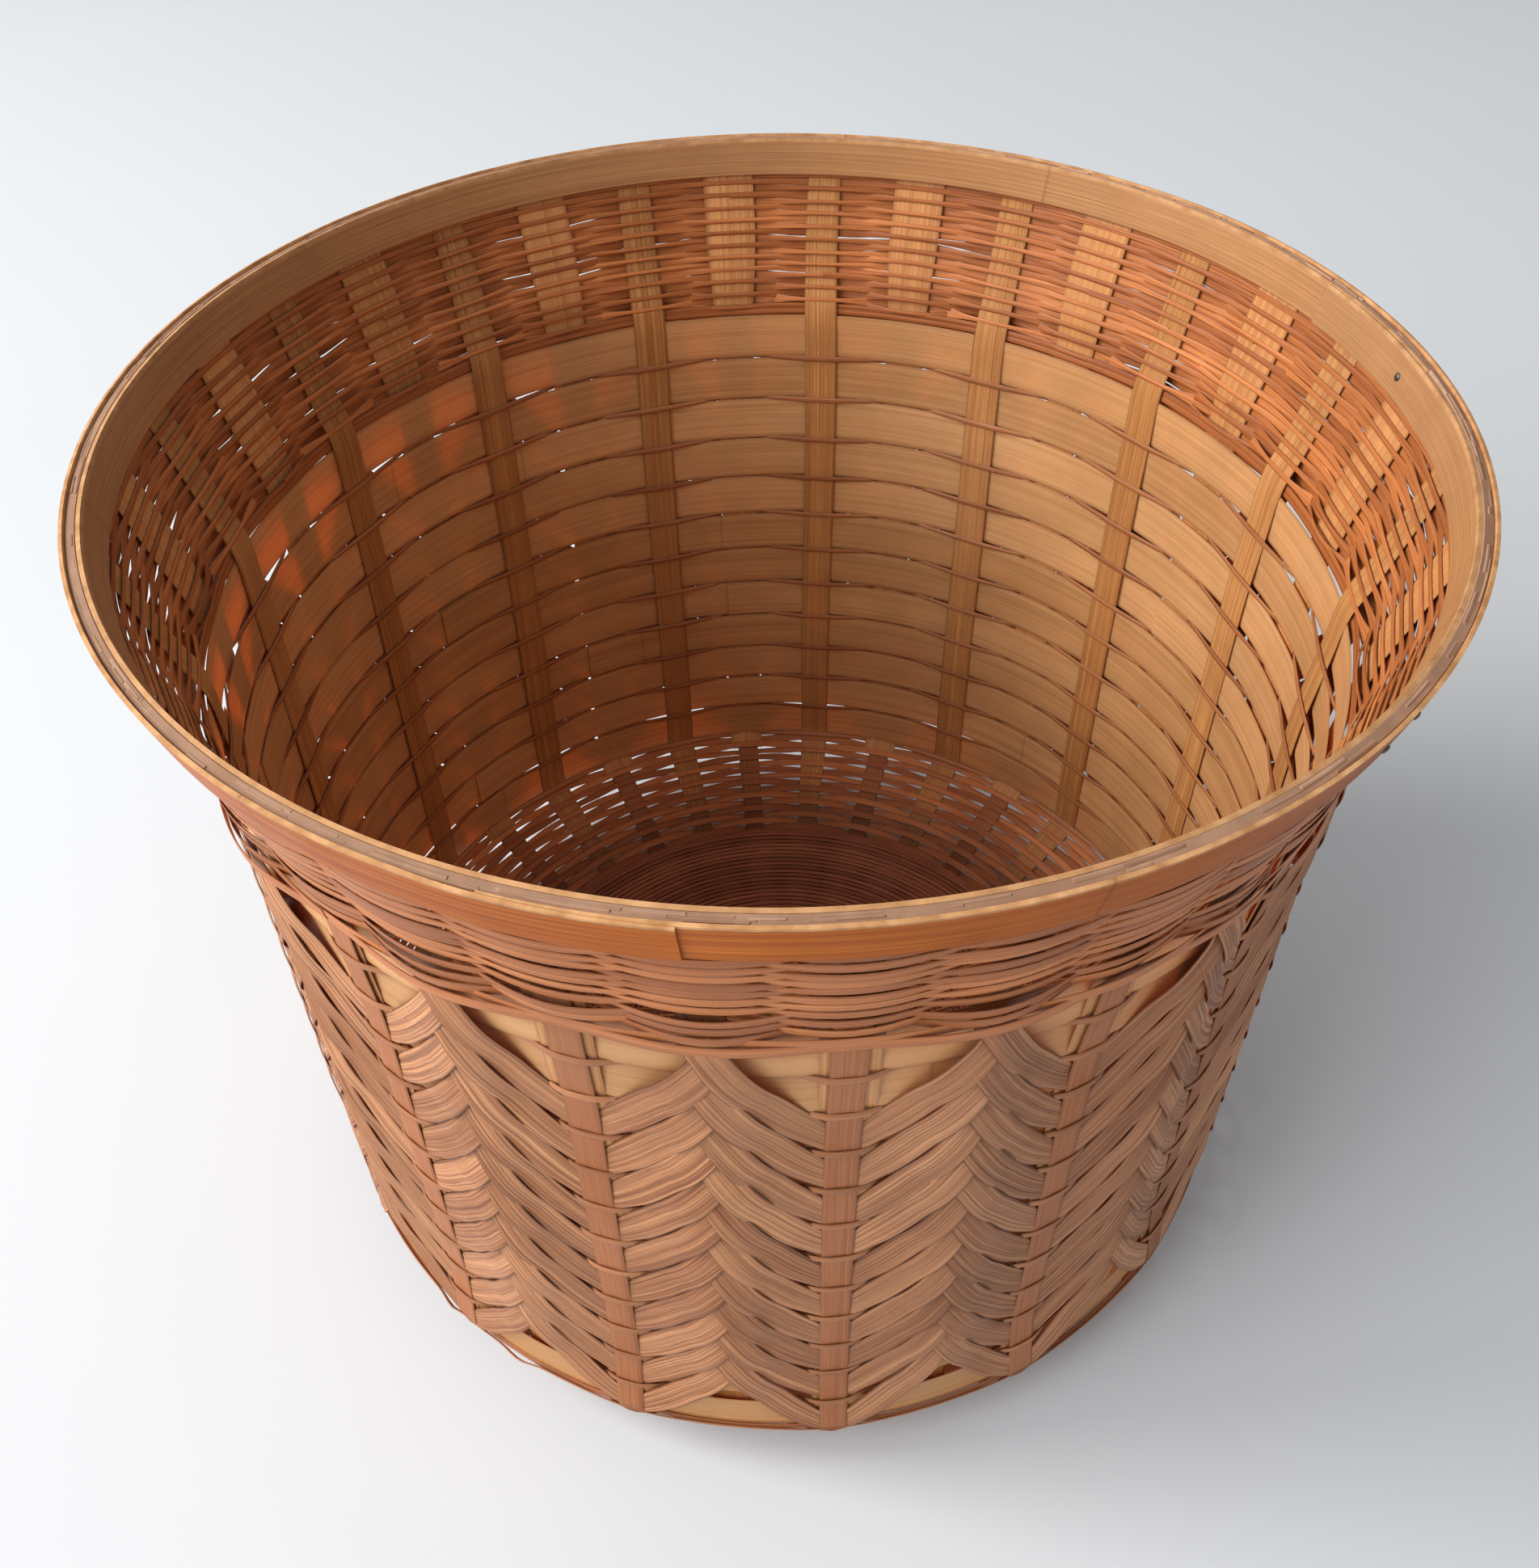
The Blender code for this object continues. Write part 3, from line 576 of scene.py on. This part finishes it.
def make_narrow_weavers():
    """Thin weavers between the bands."""
    count = END_COUNT * 24
    for number in range(1, BAND_COUNT):
        row = BAND_COUNT - number
        node = f"narrow_weaver_{number:02d}"
        middle = BORDER_HEIGHT + row * PITCH
        start = FRONT + STEP * (2 * RANDOM.integers(0, 16) + 1)
        turn = np.linspace(0, 2 * math.pi + 0.9 * STEP, count)
        offset, width = past_stakes(start + turn)
        offset = offset - 0.25 * MM * smooth(turn, 2 * math.pi - STEP, 2 * math.pi)
        height = middle + wander(count, 0.15 * MM, 10)
        path, normals = on_wall(run_at_height(height), start + turn, offset)
        strips = Strips()
        strips.add(path, normals, width * (1 + wander(count, 0.03, 12)), WEAVER_THICKNESS, NARROW, 0.02 * MM)
        strips.build(f"weaver_{number:02d}", THIN, "narrow_weaver", node)


def make_zigzags():
    """Rows of hanging splints that dip behind the outer stakes and braid at the ridges.

    At a ridge the arms lie in the order of their heights, the higher always over the lower.
    """
    ridge_at = STEP * NECK_RADIUS
    edge = OUTER_STAKE_WIDTH / 2
    span = ridge_at - edge
    count = 65
    for number in range(1, ZIGZAG_COUNT + 1):
        row = ZIGZAG_COUNT - number
        node = f"zigzag_row_{number:02d}"
        weaver = BORDER_HEIGHT + row * PITCH
        top = number == 1
        past = (1.6 if top else 2.6) * MM
        bulge = TOP_ZIGZAG_BULGE if top else ZIGZAG_BULGE
        strips = Strips()

        def crest(angle):
            """Bulge of the braid: none at an outer stake, most at a ridge."""
            share = np.abs((angle - FRONT + STEP) % (2 * STEP) - STEP) / STEP
            return bulge * share ** 1.2 * (1 - 0.08 * share ** 6)

        for place in range(END_COUNT // 2):
            centre = FRONT + 2 * place * STEP
            x = np.linspace(-ridge_at - past, ridge_at + past, count)
            beyond = np.maximum(np.abs(x) - edge, 0)
            left = x < 0
            rise = np.where(left, ZIGZAG_RISE_LEFT, ZIGZAG_RISE_RIGHT)
            start = np.where(left, 0.90, 0.97)
            bow = (rise - start * span) / span ** 2
            dip = np.maximum(edge ** 2 - x ** 2, 0) * 0.92 / (2 * edge)
            lift = start * beyond + bow * beyond ** 2 - dip
            height = weaver + ZIGZAG_HANG + lift - 0.8 * MM * np.tanh(x / (3 * MM))
            height = height + RANDOM.normal() * 0.4 * MM + wander(count, 0.12 * MM, 3)
            near = smooth(np.abs(x), ridge_at - 14 * MM, ridge_at - 4 * MM)
            middle = smooth(beyond, 0, 7 * MM) * (1 - smooth(beyond, 15 * MM, span))
            wider = np.where(left, 0.9, 1.3) * middle
            width = (8.65 + wider + 0.4 * near + RANDOM.normal() * 0.2) * MM
            offset = ZIGZAG_OFFSET - 0.6 * MM * smooth(np.abs(x), ridge_at - 1 * MM, ridge_at + past)
            at_ridge = np.where(left, np.interp(-ridge_at, x, height), np.interp(ridge_at, x, height))
            level = height + 0.9 * near * (at_ridge - height)
            lean = 0.07 + 0.06 * smooth(beyond, 0, 9 * MM) - 0.02 * near
            angle = centre + x / NECK_RADIUS
            run = run_at_height(np.minimum(height, RIM_HEIGHT - 5 * MM))
            path, normals = on_wall(run, angle, offset)
            strips.add(path, normals, width, ZIGZAG_THICKNESS, FIBRED, 0.07 * MM,
                       lean=lean, level=level, crest=crest)
        strips.build(f"zigzag_{number:02d}", ZIGZAG, "zigzag", node)


def woven_row(strips, run, parity, inward, outward, width, thickness, per_stake=9, loose=0.0, lift=0.0,
              swell=0.0, pinch=0.0, flanks=0.0, shape=FLAT):
    """One weaver round the basket, over and under the 32 stake ends in turn."""
    first = int(RANDOM.integers(0, END_COUNT))
    stakes = END_COUNT + 1
    index = np.arange(stakes + 1)
    is_out = (index + first + parity) % 2 == 0
    slack = 1 + loose * np.abs(RANDOM.normal(size=stakes + 1))
    at_stake = np.where(is_out, outward * slack, -inward)
    shift = RANDOM.normal(size=stakes + 1) * lift
    count = stakes * per_stake + 1
    t = np.linspace(0, stakes, count)
    cell = np.minimum(t.astype(int), stakes - 1)
    part = (1 - np.cos(math.pi * (t - cell))) / 2
    offset = at_stake[cell] * (1 - part) + at_stake[cell + 1] * part
    move = shift[cell] * (1 - part) + shift[cell + 1] * part
    angle = FRONT + (first + t) * STEP
    offset = offset - 0.15 * MM * smooth(t, stakes - 1.5, stakes)
    path, normals = on_wall(run + move, angle, offset)
    tall = width * (1 + wander(count, 0.04, 12)) * (1 + flanks * np.cos(angle) ** 2)
    face = 1 + swell * smooth(offset, 0, 1.1 * MM) - pinch * smooth(-offset, 0, 0.9 * MM)
    strips.add(path, normals, tall * face, thickness, shape, 0.02 * MM)


def make_flare():
    """Fine weave from the top band to the rim, about 24 rows in sight and the rest behind the hoops.

    The lowest rows pass over the tips of the top zigzag, so they stand further out.
    """
    strips = Strips()
    # Two tight rows close the neck behind the others
    for row in range(2):
        run = RUN_NECK - (0.8 + 1.8 * row) * MM
        woven_row(strips, run, 1, 0.7 * MM, 0.25 * MM, 2.0 * MM, 0.45 * MM, per_stake=8)
    for row in range(int((RUN_NECK - 2 * MM) / FLARE_PITCH)):
        run = RUN_NECK + 1.2 * MM - row * FLARE_PITCH
        under_hoop = 1 - smooth(run, 14 * MM, 20 * MM)
        over_tips = row % 2 == 0
        bow = (2.9 if over_tips else 1.7) * (1 - smooth(row, 0, 9))
        outward = (1.1 + bow) * (1 - under_hoop) * MM + 0.75 * MM * under_hoop
        inward = (0.95 + 0.5 * (1 - smooth(row, 0, 7))) * (1 - under_hoop) * MM
        inward = inward + 0.75 * MM * under_hoop
        if row < 2:
            inward = -2.7 * MM
        woven_row(strips, run, (row + 1) % 2, inward, outward, RANDOM.uniform(2.0, 2.3) * MM, FINE_THICKNESS,
                  per_stake=8, loose=0.25 * (1 - under_hoop), lift=0.28 * MM * (1 - under_hoop),
                  swell=0.80, pinch=0.36, flanks=0.12)
    strips.build("flare_weavers", FINE, "fine_weave", "flare_weave")


def make_lower():
    """Fine weave of the lower wall, about fifteen rows from the border to the foot."""
    strips = Strips()
    first = RUN_BORDER + 2.1 * MM
    last = RUN_FOOT - 2.5 * MM
    rows = round((last - first) / LOWER_PITCH) + 1
    pitch = (last - first) / (rows - 1)
    for row in range(rows):
        pinch = 0.29 * (1 - row / rows) ** 0.7
        woven_row(strips, first + row * pitch, row % 2, 1.0 * MM, 1.05 * MM,
                  RANDOM.uniform(3.25, 3.45) * MM, FINE_THICKNESS, per_stake=8, loose=0.2,
                  lift=0.16 * MM * (1 - row / rows), swell=-pinch, pinch=pinch)
    strips.build("lower_weavers", FINE, "fine_weave", "lower_weave")


def make_base():
    """Dark rows of the base: twined pairs up to the plateau, then single rows between the splints."""
    strips = Strips()
    ropes = Strips()
    first = float(run_at_radius(FOOT_RADIUS - 2.2 * MM))
    last = float(run_at_radius(PLATEAU_RADIUS / 2))
    for row in range(int((last - first) / BASE_PITCH)):
        run = first + row * BASE_PITCH
        on_plateau = float(smooth(run, RUN_PLATEAU - 8 * MM, RUN_PLATEAU))
        depth = (0.62 - 0.32 * on_plateau) * MM
        tall = RANDOM.uniform(2.35, 2.6) * MM
        for strand in range(2 if on_plateau < 0.5 else 1):
            woven_row(strips, run, (row + strand) % 2, depth, depth, tall, BASE_THICKNESS, per_stake=4,
                      lift=0.06 * MM, shape=ROUND)
        if on_plateau < 0.5:
            # On the inside the turns of a row run together as one rope
            start = RANDOM.uniform(0, 2 * math.pi)
            turn = np.linspace(0, 2 * math.pi + STEP / 2, END_COUNT * 6)
            path, normals = on_wall(run, start + turn, -ROPE_OFFSET - 0.03 * MM * turn)
            ropes.add(path, normals, 0.74 * tall, ROPE_THICKNESS, ROUND, 0.02 * MM)
    strips.build("base_weavers", BASE, "base_weave", "base_weave")
    ropes.build("base_ropes", BASE, "base_weave")
    strips = Strips()
    for strand in range(2):
        woven_row(strips, RUN_FOOT, strand, 0.95 * MM, 1.35 * MM, 2.7 * MM, 0.8 * MM, per_stake=9)
    strips.build("foot_row", BASE, "base_weave", "foot_weaver")


def make_border():
    """Border of the lower corner.

    A core, a flat strand outside it and one woven like a narrow weaver.
    """
    strips = Strips()
    count = END_COUNT * 12
    turn = np.linspace(0, 2 * math.pi + STEP / 2, count)
    angle = FRONT + turn
    slack = np.zeros(count)
    for place, spread in SLACK_PLACES:
        away = (np.degrees(angle) - place + 180) % 360 - 180
        slack = slack + np.exp(-(away / spread) ** 2)
    part = (1 + np.cos(turn / STEP * math.pi)) / 2
    rise = wander(count, 0.12 * MM, 12)
    path, normals = on_wall(RUN_BORDER - 1.2 * MM, angle, 0.95 * MM)
    strips.add(path, normals, 2.0 * MM, 1.25 * MM, FLAT, 0.03 * MM)
    run = RUN_BORDER - 1.9 * MM + (part - 0.5) * 0.8 * MM + slack * 0.8 * MM + rise
    path, normals = on_wall(run, angle, (1.75 + 0.45 * part ** 2 + 1.4 * slack) * MM)
    strips.add(path, normals, 1.8 * MM, 0.6 * MM, FLAT, 0.03 * MM)
    offset, width = past_stakes(angle)
    path, normals = on_wall(RUN_BORDER - 0.4 * MM + rise, angle, 1.1 * offset)
    strips.add(path, normals, width, WEAVER_THICKNESS, NARROW, 0.02 * MM)
    strips.build("border_strands", BORDER, "border", "border_cord")


def make_hoop(name, node, material, slot, outer, start, lap, height, thickness):
    """A bent hoop with tapered ends that lap."""
    count = 400
    turn = np.linspace(0, 2 * math.pi + lap, count)
    angle = start + turn
    begun = np.clip(turn / lap, 0, 1)
    ending = np.clip((turn - 2 * math.pi) / lap, 0, 1)
    near_end = smooth(turn, 2 * math.pi - 0.6 * lap, 2 * math.pi)
    thick = thickness * (0.5 + 0.5 * begun) * (1 - 0.35 * ending)
    inner_face = HOOP_SEAT + near_end * (0.5 * thickness + 0.05 * MM) + 0.5 * thickness * ending
    offset = (inner_face + thick / 2) * (1 if outer else -1)
    slant = height / math.cos(math.atan(SLOPE))
    path, normals = on_wall(slant / 2, angle, offset)
    # The hoop's top stays level with the rim although the wall leans
    path[:, 2] += SLOPE * offset / math.hypot(1, SLOPE)
    slow = wander(count, 0.12 * MM, 6)
    path[:, 2] += np.minimum(slow, 0)
    strips = Strips()
    strips.add(path, normals, slant, thick, section(13, 0.82, 14), 0.02 * MM, tone=0.0)
    return strips.build(name, material, slot, node)


def make_filler():
    """What fills the rim between the hoops: stake ends and weaver edges cut nearly flush."""
    strips = Strips()
    room = HOOP_SEAT - 0.02 * MM
    count = END_COUNT * 24
    angle = np.linspace(0, 2 * math.pi, count)
    top = FILLER_DEPTH + wander(count, 0.05 * MM, 40)
    path, normals = on_wall(top + 1.3 * MM, angle, 0.0)
    strips.add(path, normals, 2.6 * MM, 2 * room, section(9, 0.85, 12), 0.08 * MM, tone=-0.3)
    for piece in range(SPLINT_ENDS):
        middle = RANDOM.uniform(0, 2 * math.pi)
        half = RANDOM.uniform(1.5, 9.0) * MM / RIM_RADIUS
        spread = np.linspace(middle - half, middle + half, 7)
        down = RANDOM.uniform(0.10, 0.34) * MM
        path, normals = on_wall(down + 0.6 * MM, spread, RANDOM.uniform(-0.8, 0.8) * MM)
        strips.add(path, normals, 1.2 * MM, RANDOM.uniform(0.5, 1.1) * MM, section(5, 0.6, 8), 0.05 * MM)
    strips.build("rim_filling", FILLER, "filler", "rim_filler")


def make_nail(name, node, angle, offset, inward=False):
    """A domed nail head."""
    mesh = bpy.data.meshes.new(name)
    bm = bmesh.new()
    bmesh.ops.create_uvsphere(bm, u_segments=20, v_segments=12, radius=NAIL_HEAD)
    bmesh.ops.scale(bm, vec=(1.0, 1.0, 0.42), verts=bm.verts)
    point, normal = on_wall(HOOP_HEIGHT * 0.52, angle, offset)
    out = Vector(normal) * (-1 if inward else 1)
    turn = out.to_track_quat("Z", "Y").to_matrix().to_4x4()
    bm.transform(Matrix.Translation(Vector(point)) @ turn)
    bm.to_mesh(mesh)
    bm.free()
    mesh.shade_smooth()
    mesh.materials.append(STEEL)
    piece = bpy.data.objects.new(name, mesh)
    bpy.context.scene.collection.objects.link(piece)
    return declare(piece, "nail", *([node] if node else []))


def make_rim():
    """Hoops, filling and nails."""
    make_hoop("bent_outer_hoop", "outer_hoop", HOOP_OUT, "outer_hoop", True,
              *OUTER_LAP, HOOP_HEIGHT, OUTER_HOOP_THICKNESS)
    make_hoop("bent_inner_hoop", "inner_hoop", HOOP_IN, "inner_hoop", False,
              *INNER_LAP, INNER_HOOP_HEIGHT, INNER_HOOP_THICKNESS)
    make_filler()
    face = HOOP_SEAT + OUTER_HOOP_THICKNESS
    for number, angle in enumerate(NAIL_ANGLES):
        make_nail(f"nail_{number + 1}", f"hoop_nail_{number + 1}", math.radians(angle), face)
    make_nail("inner_nail", None, math.radians(INNER_NAIL_ANGLE), -HOOP_SEAT - 2.1 * MM, True)


# Stage: the camera's lens and place in millimetres and its angles in radians
CAMERA = {"lens": 34.63, "distance": 352.56, "height": 493.07, "pitch": 0.778666, "yaw": -0.0090945,
          "roll": -0.0142184, "turn": math.radians(-5.3)}
FLOOR_HALF = 6.0
# Strength of the sky from the left and from the right
SKY = (0.84, 0.25)
AIM = (0, 0, 0.15)


def make_camera():
    """Camera at the photograph's place: pinhole, no shift."""
    c = CAMERA
    pitch, yaw, roll = c["pitch"], c["yaw"], c["roll"]
    place = Vector((0.0, -c["distance"] * MM, c["height"] * MM))
    ahead = Vector((math.sin(yaw) * math.cos(pitch), math.cos(yaw) * math.cos(pitch), -math.sin(pitch)))
    right = ahead.cross(Vector((0, 0, 1))).normalized()
    up = right.cross(ahead)
    right, up = right * math.cos(roll) + up * math.sin(roll), up * math.cos(roll) - right * math.sin(roll)
    turn = Matrix.Rotation(c["turn"], 3, "Z")
    axes = Matrix((turn @ right, turn @ up, turn @ -ahead)).transposed()
    data = bpy.data.cameras.new("camera")
    data.lens = c["lens"]
    data.sensor_width = 36.0
    data.sensor_fit = "AUTO"
    data.clip_start = 0.01
    camera = bpy.data.objects.new("camera", data)
    camera.matrix_world = Matrix.Translation(turn @ place) @ axes.to_4x4()
    bpy.context.scene.collection.objects.link(camera)
    bpy.context.scene.camera = camera


def make_floor():
    """A plain pale floor."""
    mesh = bpy.data.meshes.new("floor")
    far = FLOOR_HALF
    corners = [(-far, -far, 0), (far, -far, 0), (far, far, 0), (-far, far, 0)]
    mesh.from_pydata(corners, [], [(0, 1, 2, 3)])
    floor = bpy.data.objects.new("floor", mesh)
    bpy.context.scene.collection.objects.link(floor)
    s = Shader("floor")
    place = s.node("ShaderNodeTexCoord").outputs["Object"]
    shade = s.mix(s.noise(place, 3.0, 3.0), (0.64, 0.68, 0.72, 1), (0.69, 0.72, 0.75, 1))
    shader = s.node("ShaderNodeBsdfPrincipled", Base_Color=shade, Roughness=0.9)
    s.node("ShaderNodeOutputMaterial", Surface=shader.outputs[0])
    mesh.materials.append(s.material)


def add_area(name, place, size, power, tint):
    """A soft round lamp that faces the basket."""
    data = bpy.data.lights.new(name, "AREA")
    data.shape = "DISK"
    data.size = size
    data.energy = power
    data.color = tint
    lamp = bpy.data.objects.new(name, data)
    lamp.location = place
    lamp.rotation_euler = (Vector(AIM) - Vector(place)).to_track_quat("-Z", "Y").to_euler()
    bpy.context.scene.collection.objects.link(lamp)


def make_lights():
    """Soft daylight from the left and a little behind, a broad fill and a sky that dims to the right."""
    add_area("key", (-2.3, 0.27, 2.02), 1.2, 62.0, (1.0, 0.97, 0.93))
    add_area("fill", (-1.8, -1.1, 1.6), 1.6, 37.0, (0.98, 0.99, 1.0))
    world = bpy.data.worlds.new("sky")
    world.use_nodes = True
    nodes, links = world.node_tree.nodes, world.node_tree.links
    sky = nodes["Background"]
    sky.inputs[0].default_value = (0.97, 0.96, 0.96, 1.0)
    direction = nodes.new("ShaderNodeSeparateXYZ")
    level = nodes.new("ShaderNodeMapRange")
    for socket, value in zip(level.inputs[1:5], (-1.0, 1.0, *SKY)):
        socket.default_value = value
    links.new(nodes.new("ShaderNodeTexCoord").outputs["Generated"], direction.inputs[0])
    links.new(direction.outputs[0], level.inputs[0])
    links.new(level.outputs[0], sky.inputs[1])
    bpy.context.scene.world = world
    bpy.context.scene.view_settings.view_transform = "Standard"


make_camera()
make_stakes()
make_backing()
make_bands()
make_narrow_weavers()
make_zigzags()
make_flare()
make_lower()
make_base()
make_border()
make_rim()
make_floor()
make_lights()
